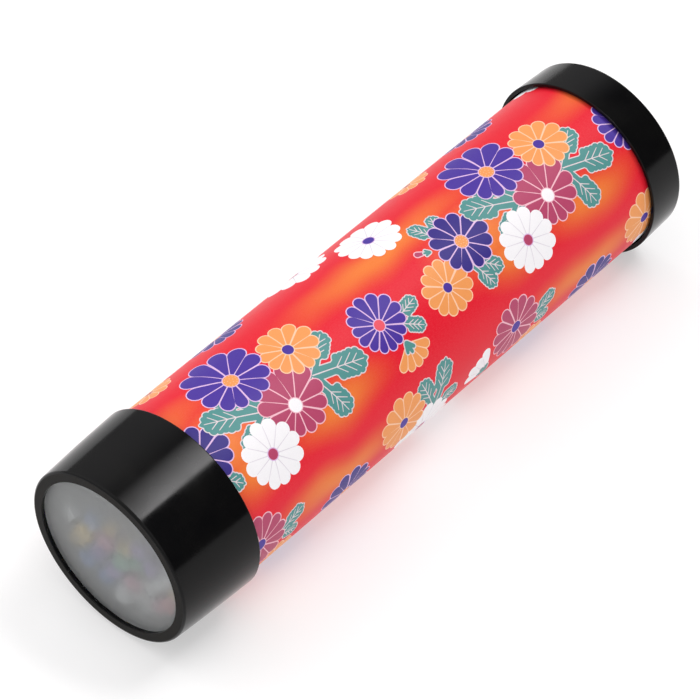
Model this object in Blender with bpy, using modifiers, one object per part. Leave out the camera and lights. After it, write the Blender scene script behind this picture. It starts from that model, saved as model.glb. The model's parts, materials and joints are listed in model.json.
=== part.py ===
"""Paper-covered tube kaleidoscope with a turning object cell.

The tube lies on its side along Y, the object cell at -Y and the eyepiece at +Y. The origin is at the
bottom centre of the whole object. Every turned piece is modelled about its own local Z, which an empty
on the tube's axis turns to world +Y. Stations are distances along the axis from the cell's front rim.
"""

import math

import bmesh
import bpy
from mathutils import Matrix, Vector

MM = 0.001

# Driving dimensions, metres
LENGTH = 192.5 * MM              # whole object, rim to eyepiece face
PAPER_RADIUS = 25.0 * MM         # outside of the printed paper
CAP_RADIUS = 26.6 * MM           # both black caps at their open ends, their widest place
GAP = 0.3 * MM                   # clearance between neighbouring pieces
SIDES = 48                       # flats round every turned piece

# Tube and its wrap
PAPER_THICKNESS = 0.3 * MM
CARD_WALL = 1.8 * MM
TUBE_OUTER = PAPER_RADIUS - PAPER_THICKNESS - GAP
TUBE_INNER = TUBE_OUTER - CARD_WALL
TUBE_START = 17.5 * MM
TUBE_END = LENGTH - 2.1 * MM

# Object cell
CELL_LENGTH = 25.7 * MM
CELL_FRONT_RADIUS = 25.3 * MM
RIM_EDGE = 0.5 * MM              # rounding of the front rim's outer edge
RIM_HOLE_RADIUS = 22.3 * MM      # opening over the frosted disc
RIM_THICKNESS = 0.9 * MM
CELL_BORE = 23.0 * MM
SKIRT_BORE = PAPER_RADIUS + 0.4 * MM
DISC_THICKNESS = 1.5 * MM
CHAMBER_DEPTH = 7.6 * MM         # clear depth for the beads
SPACER_WALL = 1.5 * MM
RING_THICKNESS = 1.2 * MM
RING_HOLE_RADIUS = 20.2 * MM

DISC_RADIUS = CELL_BORE - GAP
DIFFUSER_START = RIM_THICKNESS + GAP
CHAMBER_START = DIFFUSER_START + DISC_THICKNESS
WINDOW_START = CHAMBER_START + CHAMBER_DEPTH
RING_START = WINDOW_START + DISC_THICKNESS + GAP
RING_END = RING_START + RING_THICKNESS

# Bearing: the collar's flange turns in a groove of the cell shell
GROOVE_START = RING_END + 0.4 * MM
GROOVE_WIDTH = 1.8 * MM
GROOVE_RADIUS = 23.9 * MM
LEDGE_RADIUS = 22.75 * MM
LEDGE_WIDTH = 1.4 * MM
LEDGE_START = GROOVE_START + GROOVE_WIDTH
LEDGE_END = LEDGE_START + LEDGE_WIDTH
COLLAR_OUTER = TUBE_INNER - GAP
COLLAR_INNER = 20.6 * MM
COLLAR_START = GROOVE_START + GAP
COLLAR_END = 34.0 * MM
FLANGE_RADIUS = GROOVE_RADIUS - GAP
FLANGE_THICKNESS = GROOVE_WIDTH - 2 * GAP

# Eyepiece
EYE_CAP_LENGTH = 12.0 * MM
EYE_CAP_FACE = 1.6 * MM          # thickness of the end wall
EYE_CAP_END_RADIUS = 26.1 * MM
EYE_CAP_EDGE = 0.5 * MM
EYE_CAP_BORE = PAPER_RADIUS + 0.5 * MM
PEEPHOLE_RADIUS = 4.5 * MM
PEEPHOLE_FLARE = 7.0 * MM        # dished rim round the peephole
DISH_DEPTH = 0.8 * MM
SPIGOT_LENGTH = 9.0 * MM
SPIGOT_OUTER = TUBE_INNER - GAP
SPIGOT_INNER = 20.8 * MM
GASKET_INNER = 17.0 * MM

FACE_START = LENGTH - EYE_CAP_FACE
EYE_WINDOW_START = FACE_START - GAP - DISC_THICKNESS
SPIGOT_START = FACE_START - SPIGOT_LENGTH

# Mirror prism
MIRROR_INRADIUS = 9.6 * MM       # axis to each mirror's face
MIRROR_THICKNESS = 2.0 * MM
MIRROR_WIDTH = 2 * math.sqrt(3) * MIRROR_INRADIUS - 2 * GAP
PLATE_THICKNESS = 1.2 * MM
FRONT_PLATE_START = COLLAR_START + GAP
MIRROR_START = FRONT_PLATE_START + PLATE_THICKNESS + GAP
REAR_PLATE_START = SPIGOT_START - GAP - PLATE_THICKNESS
MIRROR_END = REAR_PLATE_START - GAP
APERTURE_INRADIUS = MIRROR_INRADIUS - 0.8 * MM
TAPE_THICKNESS = 0.4 * MM
TAPE_WIDTH = 15.0 * MM
TAPE_STATIONS = (40 * MM, 98 * MM, 156 * MM)
PAD_WIDTH = 20.0 * MM
PAD_OUTER = 19.5 * MM
PAD_START = COLLAR_END + 1 * MM

# Bead charge: shape, radius across the disc, colour, in the order in which they drop
BEAD_GAP = 0.35 * MM
BEADS = (
    ("ball", 3.3, "clear"), ("star", 3.2, "blue"), ("ring", 2.9, "clear"), ("chip", 2.7, "pink"),
    ("drum", 2.6, "blue"), ("flower", 3.1, "pink"), ("ball", 2.7, "violet"), ("drum", 2.4, "red"),
    ("chip", 2.9, "violet"), ("ring", 2.7, "yellow"), ("star", 3.0, "clear"), ("ball", 2.9, "green"),
    ("chip", 2.5, "yellow"), ("drum", 2.9, "yellow"), ("flower", 3.2, "pink"), ("ball", 2.3, "clear"),
    ("ring", 2.6, "green"), ("chip", 3.0, "clear"), ("drum", 2.2, "violet"), ("star", 2.8, "yellow"),
    ("ball", 2.5, "clear"), ("flower", 2.7, "blue"), ("chip", 2.6, "yellow"), ("drum", 2.5, "violet"),
)
BEAD_COLOURS = {
    "yellow": (0.95, 0.66, 0.05),
    "blue": (0.06, 0.30, 0.85),
    "pink": (0.90, 0.25, 0.45),
    "red": (0.80, 0.06, 0.08),
    "green": (0.10, 0.60, 0.30),
    "violet": (0.40, 0.20, 0.75),
    "clear": (0.92, 0.94, 0.96),
}
GOLDEN_TURN = math.radians(137.5)   # between one bead's turn and the next one's
SMOOTH_ANGLE = math.radians(32)


def clear_scene():
    """Start from an empty file."""
    for item in list(bpy.data.objects):
        bpy.data.objects.remove(item)


def make_collection(name):
    """A collection for the object's parts."""
    collection = bpy.data.collections.new(name)
    bpy.context.scene.collection.children.link(collection)
    return collection


def make_material(name, colour, roughness, metallic=0.0, transmission=0.0):
    """A Principled material."""
    material = bpy.data.materials.new(name)
    material.use_nodes = True
    shader = material.node_tree.nodes["Principled BSDF"]
    shader.inputs["Base Color"].default_value = (*colour, 1.0)
    shader.inputs["Roughness"].default_value = roughness
    shader.inputs["Metallic"].default_value = metallic
    shader.inputs["Transmission Weight"].default_value = transmission
    material.diffuse_color = (*colour, 1.0)
    return material


def make_axis(name, collection, parent=None):
    """An empty on the tube's axis: local Z runs from the cell to the eyepiece, local Y points down."""
    axis = bpy.data.objects.new(name, None)
    axis.empty_display_size = PAPER_RADIUS
    collection.objects.link(axis)
    if parent:
        axis.parent = parent
    else:
        axis.location = (0, 0, CAP_RADIUS)
        axis.rotation_euler = (-math.pi / 2, 0, 0)
    return axis


def add_object(name, data, axis, material, station=0.0):
    """Link mesh or curve data as a named part, its local origin on the axis at a station."""
    part = bpy.data.objects.new(name, data)
    axis.users_collection[0].objects.link(part)
    part.parent = axis
    part.location.z = station - LENGTH / 2
    data.materials.append(material)
    return part


def smooth(mesh):
    """Shade round faces smooth and keep the corners sharp."""
    mesh.shade_smooth()
    mesh.set_sharp_from_angle(angle=SMOOTH_ANGLE)


def turned(name, profile, axis, material, station=0.0, closed=True):
    """A turned piece. The profile lists (radius, height), down the outer side first.

    Radii are measured to the middle of each flat, and a flat faces straight down.
    """
    half_step = math.pi / SIDES
    to_corner = 1 / math.cos(half_step)
    mesh = bpy.data.meshes.new(name)
    points = []
    for radius, height in profile:
        corner = radius * to_corner
        points.append((corner * math.cos(half_step), corner * math.sin(half_step), height))
    edges = [(i, i + 1) for i in range(len(points) - 1)]
    if closed:
        edges.append((len(points) - 1, 0))
    mesh.from_pydata(points, edges, [])
    part = add_object(name, mesh, axis, material, station)
    screw = part.modifiers.new("Turn", "SCREW")
    screw.axis = "Z"
    screw.angle = 2 * math.pi
    screw.steps = SIDES
    screw.render_steps = SIDES
    screw.use_merge_vertices = True
    screw.merge_threshold = 0.00001
    depsgraph = bpy.context.evaluated_depsgraph_get()
    part.data = bpy.data.meshes.new_from_object(part.evaluated_get(depsgraph))
    part.modifiers.clear()
    bpy.data.meshes.remove(mesh)
    part.data.name = name
    smooth(part.data)
    return part


def ring(name, outer, inner, length, axis, material, station):
    """A plain sleeve or washer."""
    section = ((outer, length), (outer, 0), (inner, 0), (inner, length))
    return turned(name, section, axis, material, station)


def disc(name, radius, thickness, axis, material, station):
    """A solid round plate."""
    section = ((0, thickness), (radius, thickness), (radius, 0), (0, 0))
    return turned(name, section, axis, material, station, closed=False)


def polar(radius, angle):
    """A point of the cross-section, with angle 0 at local +X."""
    return Vector((radius * math.cos(angle), radius * math.sin(angle)))


def polygon(radius, count, phase=0.0):
    """Corners of a regular polygon."""
    return [polar(radius, phase + 2 * math.pi * i / count) for i in range(count)]


def extruded(name, outlines, thickness, axis, material, station):
    """A flat plate from closed outlines, the second and later ones being holes."""
    curve = bpy.data.curves.new(name, "CURVE")
    curve.dimensions = "2D"
    curve.fill_mode = "BOTH"
    curve.extrude = thickness / 2
    for outline in outlines:
        spline = curve.splines.new("POLY")
        spline.points.add(len(outline) - 1)
        for point, corner in zip(spline.points, outline):
            point.co = (corner.x, corner.y, 0, 1)
        spline.use_cyclic_u = True
    return add_object(name, curve, axis, material, station + thickness / 2)


def make_tube_body(axis, materials):
    """Card tube, its printed paper and the collar that the cell turns on."""
    tube_length = TUBE_END - TUBE_START
    ring("cardboard_tube", TUBE_OUTER, TUBE_INNER, tube_length, axis, materials["card"], TUBE_START)
    paper_inner = PAPER_RADIUS - PAPER_THICKNESS
    ring("paper_wrap", PAPER_RADIUS, paper_inner, tube_length, axis, materials["paper"], TUBE_START)
    collar_length = COLLAR_END - COLLAR_START
    collar = (
        (COLLAR_OUTER, collar_length),
        (COLLAR_OUTER, FLANGE_THICKNESS),
        (FLANGE_RADIUS, FLANGE_THICKNESS),
        (FLANGE_RADIUS, 0),
        (COLLAR_INNER, 0),
        (COLLAR_INNER, collar_length),
    )
    turned("bearing_collar", collar, axis, materials["white_plastic"], COLLAR_START)


def make_mirror_plates(axis, materials):
    """Card discs with a triangular hole at both ends of the mirrors."""
    aperture = polygon(2 * APERTURE_INRADIUS, 3, -math.pi / 2)
    phase = math.pi / SIDES
    front = polygon(COLLAR_INNER - GAP, SIDES, phase)
    extruded("front_mirror_plate", (front, aperture), PLATE_THICKNESS, axis, materials["black_card"],
             FRONT_PLATE_START)
    rear = polygon(TUBE_INNER - GAP, SIDES, phase)
    extruded("rear_mirror_plate", (rear, aperture), PLATE_THICKNESS, axis, materials["black_card"],
             REAR_PLATE_START)


def add_block(name, size, centre, turn, axis, material, bevel):
    """A bevelled block in the cross-section, turned about the tube's axis."""
    mesh = bpy.data.meshes.new(name)
    shape = bmesh.new()
    bmesh.ops.create_cube(shape, size=1.0)
    bmesh.ops.scale(shape, vec=size, verts=shape.verts)
    shape.to_mesh(mesh)
    shape.free()
    part = add_object(name, mesh, axis, material)
    part.rotation_euler.z = turn
    across = Matrix.Rotation(turn, 3, "Z") @ Vector((0, centre[0], 0))
    part.location = (across.x, across.y, centre[1] - LENGTH / 2)
    edges = part.modifiers.new("Edges", "BEVEL")
    edges.width = bevel
    edges.segments = 1
    return part


def make_mirrors(axis, materials):
    """Three mirror strips round an equilateral triangle, one of them flat at the bottom."""
    length = MIRROR_END - MIRROR_START
    middle = (MIRROR_START + MIRROR_END) / 2
    size = (MIRROR_WIDTH, MIRROR_THICKNESS, length)
    offset = MIRROR_INRADIUS + MIRROR_THICKNESS / 2
    for i in range(3):
        turn = i * 2 * math.pi / 3
        add_block(f"mirror_strip_{i + 1}", size, (offset, middle), turn, axis, materials["mirror"], 0.2 * MM)


def prism_outline(grow):
    """Six corners round the backs of the three mirrors, moved out by a distance."""
    back = MIRROR_INRADIUS + MIRROR_THICKNESS + grow
    half_width = MIRROR_WIDTH / 2 + grow * math.tan(math.radians(30))
    corners = []
    for i in range(3):
        turn = Matrix.Rotation(i * 2 * math.pi / 3, 2)
        corners.append(turn @ Vector((half_width, back)))
        corners.append(turn @ Vector((-half_width, back)))
    return corners


def make_tape_bands(axis, materials):
    """Tape round the three mirrors at three places."""
    outlines = (prism_outline(GAP + TAPE_THICKNESS), prism_outline(GAP))
    for i, station in enumerate(TAPE_STATIONS):
        extruded(f"tape_band_{i + 1}", outlines, TAPE_WIDTH, axis, materials["tape"], station)


def make_foam_pads(axis, materials):
    """Foam strips that centre the mirrors in the tube."""
    end = MIRROR_END - 6 * MM
    inner = MIRROR_INRADIUS + MIRROR_THICKNESS + TAPE_THICKNESS + 2 * GAP
    size = (PAD_WIDTH, PAD_OUTER - inner, end - PAD_START)
    centre = ((PAD_OUTER + inner) / 2, (end + PAD_START) / 2)
    for i in range(3):
        turn = i * 2 * math.pi / 3
        add_block(f"foam_pad_{i + 1}", size, centre, turn, axis, materials["foam"], 0.8 * MM)


def make_eyepiece(axis, materials):
    """Short cap whose spigot fits in the tube, with a clear window held by a foam ring."""
    start = LENGTH - EYE_CAP_LENGTH
    face = EYE_CAP_LENGTH - EYE_CAP_FACE
    spigot = face - SPIGOT_LENGTH
    cap = (
        (EYE_CAP_END_RADIUS - EYE_CAP_EDGE, EYE_CAP_LENGTH),
        (EYE_CAP_END_RADIUS, EYE_CAP_LENGTH - EYE_CAP_EDGE),
        (CAP_RADIUS, 0),
        (EYE_CAP_BORE, 0),
        (EYE_CAP_BORE, face),
        (SPIGOT_OUTER, face),
        (SPIGOT_OUTER, spigot),
        (SPIGOT_INNER, spigot),
        (SPIGOT_INNER, face),
        (PEEPHOLE_RADIUS, face),
        (PEEPHOLE_RADIUS, EYE_CAP_LENGTH - DISH_DEPTH),
        (PEEPHOLE_FLARE, EYE_CAP_LENGTH),
    )
    turned("eyepiece_cap", cap, axis, materials["black_plastic"], start)
    disc("eyepiece_window", SPIGOT_INNER - GAP, DISC_THICKNESS, axis, materials["clear_plastic"],
         EYE_WINDOW_START)
    gasket_length = EYE_WINDOW_START - SPIGOT_START - GAP
    ring("eyepiece_gasket", SPIGOT_INNER - GAP, GASKET_INNER, gasket_length, axis, materials["foam"],
         SPIGOT_START)


def make_cell(axis, materials):
    """Long cap that holds the bead chamber and turns on the collar."""
    shell = (
        (CAP_RADIUS, CELL_LENGTH),
        (CELL_FRONT_RADIUS, RIM_EDGE),
        (CELL_FRONT_RADIUS - RIM_EDGE, 0),
        (RIM_HOLE_RADIUS, 0),
        (RIM_HOLE_RADIUS, RIM_THICKNESS),
        (CELL_BORE, RIM_THICKNESS),
        (CELL_BORE, GROOVE_START),
        (GROOVE_RADIUS, GROOVE_START),
        (GROOVE_RADIUS, LEDGE_START),
        (LEDGE_RADIUS, LEDGE_START),
        (LEDGE_RADIUS, LEDGE_END),
        (SKIRT_BORE, LEDGE_END),
        (SKIRT_BORE, CELL_LENGTH),
    )
    turned("cell_shell", shell, axis, materials["black_plastic"])
    disc("diffuser_disc", DISC_RADIUS, DISC_THICKNESS, axis, materials["frosted_plastic"], DIFFUSER_START)
    spacer_length = CHAMBER_DEPTH - 2 * GAP
    ring("cell_spacer", DISC_RADIUS, DISC_RADIUS - SPACER_WALL, spacer_length, axis,
         materials["white_plastic"], CHAMBER_START + GAP)
    disc("cell_window", DISC_RADIUS, DISC_THICKNESS, axis, materials["clear_plastic"], WINDOW_START)
    ring("retaining_ring", DISC_RADIUS, RING_HOLE_RADIUS, RING_THICKNESS, axis,
         materials["black_plastic"], RING_START)


def crossings(centre_a, reach_a, centre_b, reach_b):
    """The points at two given distances from two centres."""
    between = centre_b - centre_a
    distance = between.length
    if distance == 0 or distance > reach_a + reach_b or distance < abs(reach_a - reach_b):
        return []
    along = (reach_a ** 2 - reach_b ** 2 + distance ** 2) / (2 * distance)
    height = math.sqrt(max(reach_a ** 2 - along ** 2, 0))
    foot = centre_a + between * (along / distance)
    side = Vector((-between.y, between.x)) * (height / distance)
    return [foot + side, foot - side]


def settle_beads(wall):
    """Drop each bead to the lowest free place in the round chamber. Local +Y is down."""
    placed = []
    for _, radius_mm, _ in BEADS:
        radius = radius_mm * MM
        room = wall - radius
        circles = [(Vector((0, 0)), room)]
        circles += [(centre, other + radius + BEAD_GAP) for centre, other in placed]
        places = [Vector((0, room))]
        for i, (centre_a, reach_a) in enumerate(circles):
            for centre_b, reach_b in circles[i + 1:]:
                places += crossings(centre_a, reach_a, centre_b, reach_b)
        slack = 0.001 * MM
        free = [
            place for place in places
            if place.length <= room + slack
            and all((place - centre).length >= reach - slack for centre, reach in circles[1:])
        ]
        placed.append((max(free, key=lambda place: round(place.y / slack)), radius))
    return placed


def bead_ball(shape, radius):
    """A round bead."""
    bmesh.ops.create_uvsphere(shape, u_segments=12, v_segments=8, radius=radius)


def bead_chip(shape, radius):
    """A cut glass chip."""
    bmesh.ops.create_icosphere(shape, subdivisions=1, radius=radius)
    bmesh.ops.scale(shape, vec=(1, 0.8, 0.7), verts=shape.verts)


def bead_drum(shape, radius):
    """A short cut length of rod."""
    bmesh.ops.create_cone(shape, cap_ends=True, segments=12, radius1=radius, radius2=radius, depth=3.0 * MM)
    bmesh.ops.bevel(shape, geom=shape.edges[:], offset=0.3 * MM, segments=1, affect="EDGES")


def bead_outline(shape, points, thickness):
    """A flat sequin from an outline."""
    bottom = [shape.verts.new((p.x, p.y, -thickness / 2)) for p in points]
    face = shape.faces.new(bottom)
    raised = bmesh.ops.extrude_face_region(shape, geom=[face])["geom"]
    moved = [item for item in raised if isinstance(item, bmesh.types.BMVert)]
    bmesh.ops.translate(shape, vec=(0, 0, thickness), verts=moved)


def bead_star(shape, radius):
    """A five-pointed star."""
    points = [polar(radius * (0.5 if i % 2 else 1), math.pi * i / 5) for i in range(10)]
    bead_outline(shape, points, 2.0 * MM)


def bead_flower(shape, radius):
    """A five-petalled flower."""
    points = []
    for i in range(30):
        angle = 2 * math.pi * i / 30
        points.append(polar(radius * (0.8 + 0.2 * math.cos(5 * angle)), angle))
    bead_outline(shape, points, 1.8 * MM)


def bead_ring(shape, radius):
    """A ring bead, made by turning a round wire section."""
    wire = radius * 0.3
    section = []
    for i in range(8):
        around = polar(wire, 2 * math.pi * i / 8)
        section.append(shape.verts.new((radius - wire + around.x, 0, around.y)))
    edges = [shape.edges.new((section[i], section[(i + 1) % 8])) for i in range(8)]
    bmesh.ops.spin(shape, geom=section + edges, cent=(0, 0, 0), axis=(0, 0, 1), angle=2 * math.pi,
                   steps=16, use_merge=True)
    bmesh.ops.remove_doubles(shape, verts=shape.verts, dist=0.01 * MM)


BEAD_SHAPES = {
    "ball": bead_ball,
    "chip": bead_chip,
    "drum": bead_drum,
    "star": bead_star,
    "flower": bead_flower,
    "ring": bead_ring,
}


def make_beads(axis):
    """The loose charge, settled at the bottom of the chamber."""
    wall = DISC_RADIUS - SPACER_WALL - BEAD_GAP
    materials = {}
    for name, colour in BEAD_COLOURS.items():
        materials[name] = make_material(f"bead_{name}", colour, 0.08, transmission=0.9)
    chamber_middle = CHAMBER_START + CHAMBER_DEPTH / 2
    for i, ((kind, _, colour), (place, radius)) in enumerate(zip(BEADS, settle_beads(wall))):
        name = f"bead_{i + 1:02d}"
        shape = bmesh.new()
        BEAD_SHAPES[kind](shape, radius)
        bmesh.ops.recalc_face_normals(shape, faces=shape.faces)
        mesh = bpy.data.meshes.new(name)
        shape.to_mesh(mesh)
        shape.free()
        smooth(mesh)
        bead = add_object(name, mesh, axis, materials[colour], chamber_middle)
        bead.location.x = place.x
        bead.location.y = place.y
        bead.rotation_euler.z = i * GOLDEN_TURN


def make_materials():
    """Materials of the tube, the cell and the eyepiece."""
    return {
        "card": make_material("card", (0.42, 0.34, 0.25), 0.85),
        "black_card": make_material("black_card", (0.02, 0.02, 0.02), 0.8),
        "paper": make_material("printed_paper", (0.80, 0.03, 0.05), 0.45),
        "black_plastic": make_material("black_plastic", (0.012, 0.012, 0.013), 0.15),
        "white_plastic": make_material("white_plastic", (0.80, 0.80, 0.78), 0.35),
        "clear_plastic": make_material("clear_plastic", (0.95, 0.97, 0.98), 0.03, transmission=0.95),
        "frosted_plastic": make_material("frosted_plastic", (0.85, 0.86, 0.85), 0.6, transmission=0.7),
        "mirror": make_material("mirror", (0.92, 0.93, 0.94), 0.02, metallic=1.0),
        "tape": make_material("tape", (0.70, 0.58, 0.35), 0.5),
        "foam": make_material("foam", (0.25, 0.25, 0.26), 0.95),
    }


def main():
    """Build the kaleidoscope."""
    clear_scene()
    collection = make_collection("kaleidoscope")
    materials = make_materials()
    tube_axis = make_axis("tube_axis", collection)
    cell_axis = make_axis("cell_axis", collection, tube_axis)
    charge_axis = make_axis("charge_axis", collection, cell_axis)
    make_tube_body(tube_axis, materials)
    make_mirror_plates(tube_axis, materials)
    make_mirrors(tube_axis, materials)
    make_tape_bands(tube_axis, materials)
    make_foam_pads(tube_axis, materials)
    make_eyepiece(tube_axis, materials)
    make_cell(cell_axis, materials)
    make_beads(charge_axis)


main()
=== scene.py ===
"""Looks of the paper-covered kaleidoscope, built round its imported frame.

The tube lies along Y with the bead cell at -Y. A station is a distance along the axis from the
cell's front rim. The print is drawn flat, in millimetres: x is the station and y is the way round
the tube from its top towards +X. It is then rolled on to the tube.
"""

import json
import math
import random

import bpy
from mathutils import Matrix, Vector
from mathutils.geometry import delaunay_2d_cdt


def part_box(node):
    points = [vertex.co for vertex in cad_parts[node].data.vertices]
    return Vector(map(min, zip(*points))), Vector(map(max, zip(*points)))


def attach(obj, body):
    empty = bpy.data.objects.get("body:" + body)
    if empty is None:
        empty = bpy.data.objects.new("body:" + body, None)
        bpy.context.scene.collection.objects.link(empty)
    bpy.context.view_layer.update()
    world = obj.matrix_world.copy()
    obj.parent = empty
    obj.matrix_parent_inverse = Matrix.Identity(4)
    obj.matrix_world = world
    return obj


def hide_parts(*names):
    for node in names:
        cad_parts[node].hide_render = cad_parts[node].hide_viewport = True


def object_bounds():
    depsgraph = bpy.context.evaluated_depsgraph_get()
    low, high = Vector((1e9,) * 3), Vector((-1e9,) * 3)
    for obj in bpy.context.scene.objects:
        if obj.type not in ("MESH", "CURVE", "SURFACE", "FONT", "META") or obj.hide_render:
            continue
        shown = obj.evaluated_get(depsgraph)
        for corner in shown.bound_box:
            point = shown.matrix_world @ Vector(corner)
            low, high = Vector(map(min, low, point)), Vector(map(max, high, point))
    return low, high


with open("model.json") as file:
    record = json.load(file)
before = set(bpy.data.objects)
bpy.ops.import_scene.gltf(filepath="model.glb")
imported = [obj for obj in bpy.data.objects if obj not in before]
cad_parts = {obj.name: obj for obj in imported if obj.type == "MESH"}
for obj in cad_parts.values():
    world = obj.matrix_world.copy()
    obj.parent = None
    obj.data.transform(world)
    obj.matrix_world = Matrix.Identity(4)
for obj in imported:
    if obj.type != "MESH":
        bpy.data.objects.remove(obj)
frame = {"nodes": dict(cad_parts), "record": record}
CAD_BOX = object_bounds()

MM = 0.001
SIDES = 192                                   # steps round a turned piece

# Places read from the frame
AXIS_Z = (CAD_BOX[0].z + CAD_BOX[1].z) / 2
FRONT_Y = CAD_BOX[0].y
LENGTH = CAD_BOX[1].y - FRONT_Y


def station(node, end):
    """Where a node starts (end 0) or stops (end 1) along the tube, in metres."""
    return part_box(node)[end].y - FRONT_Y


def node_radius(node):
    """Outer radius of a turned node."""
    low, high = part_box(node)
    return (high.x - low.x) / 2


PAPER_RADIUS = node_radius("paper_wrap")
PAPER_START = station("paper_wrap", 0)
PAPER_END = station("paper_wrap", 1)
CAP_RADIUS = node_radius("cell_shell")

# Camera, from the picture's own perspective
CAMERA_AZIMUTH = math.radians(41.18)
CAMERA_ELEVATION = math.radians(46.66)
CAMERA_DISTANCE = 0.9304
CAMERA_LENS = 187.2
AIM_RIGHT = -4.78 * MM                        # aim point from the tube's middle, across the view
AIM_UP = -2.20 * MM

# Studio light. Across is x over z and beyond is y over z of a direction from the object.
KEY_EDGE = 0.427                              # where the softbox stops, across
KEY_SOFT = 0.015                              # half the width of that edge
KEY_FADE = -0.25                              # where the softbox has faded out, across
KEY_NEAR = (0.28, 0.40)                       # where it starts and is full, beyond
KEY_FAR = (0.55, 0.68)                        # where it starts to end and has ended, beyond
KEY_STRENGTH = 20.0
LOW_FILL = 0.40                               # soft light at the horizon
HIGH_FILL = 1.00                              # soft light overhead
FILL_BACK = (0.36, 0.12)                      # y of a direction where it starts and is full
FILL_TILT = (0.66, 1.30)                      # its share from -X and from +X
SIDE_LEAST = 0.06
SIDE_FILL = 0.95                              # light from -X
BACKDROP = 1.04                               # what the camera sees behind the floor
FLOOR_LIFT = 0.42                             # the floor's own light
FLOOR_HALF = 3.0                              # half the floor's width, metres

# Print colours, as 8-bit display values
INKS = {
    "indigo": (74, 50, 156),
    "navy": (56, 44, 132),
    "orange": (243, 158, 90),
    "mauve": (182, 70, 106),
    "teal": (84, 148, 145),
    "white": (250, 248, 251),
    "rose": (238, 84, 100),
    "line_lilac": (224, 188, 230),
    "line_peach": (255, 205, 170),
    "line_pink": (244, 190, 204),
    "line_mint": (224, 212, 216),
    "line_grey": (226, 220, 228),
}
LINE_OF = {
    "indigo": "line_lilac",
    "navy": "line_lilac",
    "orange": "line_peach",
    "mauve": "line_pink",
    "teal": "line_mint",
    "white": "line_grey",
}
GROUND_RED = (228, 10, 40)
GROUND_ORANGE = (238, 126, 50)
PAPER_WHITE = (246, 242, 236)                 # the unprinted core
LINE = 0.30                                   # print line width, mm
REPEAT = (97.5, 74.0)                         # size of the print's repeat, mm
SEAM_AT = -52.0                               # where the sheet starts round the tube, mm
SEAM_STEP = 0.15                              # how far the overlapping edge stands up, mm
SEAM_FLAP = 4.0                               # width of the overlap, mm
SEAM_SLOPE = 1.5                              # width of the rise up to it, mm
SHEET_DEPTH = 0.3 * MM                        # how far the core reaches into the paper
INK_DEPTH = 0.03 * MM                         # how far the inks lie over the core
ROUND_STEPS = 72                              # facets of the rolled sheet
# The flat sheet: station from and to, then way round from and to, mm
SHEET = (PAPER_START / MM, PAPER_END / MM, SEAM_AT, SEAM_AT + 2 * math.pi * PAPER_RADIUS / MM)

# Flowers of one repeat: eye, middle of the outline, radius, petals, petal ink, eye ink, eye radius.
# The later ones lie over the earlier ones.
FLOWERS = (
    ((53.3, 14.4), (53.7, 12.6), 9.7, 12, "mauve", "white", 1.8),
    ((63.2, 2.3), (63.8, 1.8), 8.0, 12, "orange", "indigo", 1.5),
    ((46.2, -1.2), (46.4, -3.3), 10.9, 12, "indigo", "orange", 2.0),
    ((40.2, 20.1), (40.4, 20.0), 8.5, 12, "white", "mauve", 1.4),
    ((109.1, 16.2), (109.2, 16.0), 7.4, 12, "orange", "indigo", 1.3),
    ((121.4, 9.4), (121.8, 9.2), 8.6, 12, "navy", "orange", 1.8),
    ((86.4, 12.5), (86.7, 11.6), 8.0, 14, "indigo", "rose", 1.5),
    ((105.9, -8.8), (106.4, -9.5), 8.6, 12, "white", "indigo", 1.5),
    ((90.0, 50.5), (89.6, 50.8), 10.0, 13, "white", "mauve", 1.7),
    ((81.0, 39.5), (80.8, 39.1), 8.1, 12, "orange", "indigo", 1.5),
    ((125.1, 39.3), (125.2, 39.4), 8.9, 13, "mauve", "indigo", 1.7),
    ((61.0, 50.4), (60.6, 49.6), 9.1, 13, "navy", "orange", 1.8),
    ((35.4, 52.6), (35.4, 52.4), 6.4, 11, "orange", "mauve", 1.2),
)
# Leaves of one repeat: foot, then the tip of each lobe
LEAVES = (
    ((46.0, 11.0), ((30.2, 3.0), (34.6, 16.2), (38.0, -3.5))),
    ((61.8, 11.3), ((78.2, 16.6), (65.6, 25.0), (73.4, 4.0))),
    ((90.0, 14.4), ((99.8, 12.6), (97.6, 20.0))),
    ((118.0, 6.6), ((114.4, -3.2), (121.5, -1.8))),
    ((119.0, 14.0), ((122.2, 24.2), (127.0, 21.4))),
    ((130.5, 41.4), ((141.0, 37.6), (138.6, 44.6))),
    ((92.6, 43.6), ((98.8, 30.4), (88.6, 31.4), (102.0, 43.0))),
)
# Half-open buds of one repeat: foot, middle direction in degrees, spread, petals, radius, ink
BUDS = (
    ((89.6, 20.4), 82, 128, 5, 7.4, "orange"),
    ((112.4, 6.3), 207, 30, 1, 4.3, "mauve"),
    ((114.6, 48.6), 232, 78, 4, 9.8, "white"),
)
# Soft orange clouds of one repeat: middle, half length and half height
CLOUDS = (
    ((103.0, -2.2), 27.0, 4.6),
    ((127.0, 11.5), 13.0, 9.0),
    ((64.0, 21.5), 13.0, 5.0),
    ((57.0, 39.0), 19.0, 4.6),
    ((34.0, 19.5), 10.0, 6.0),
)
CLOUD_FALL = -0.9                             # how fast a cloud fades from its middle
CLOUD_DRIFT = 7.0                             # how far the clouds' edges wander, mm

# How uneven the petals are: their turn as a share of a step, and their reach
PETAL_TURN = 0.06
PETAL_REACH = (0.965, 1.035)
BUD_REACH = (0.94, 1.04)
# Stamens in an orange eye: number, distance out as a share of the eye, and size in mm
STAMENS = ((12, 0.80, 0.13), (5, 0.38, 0.12))

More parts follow.
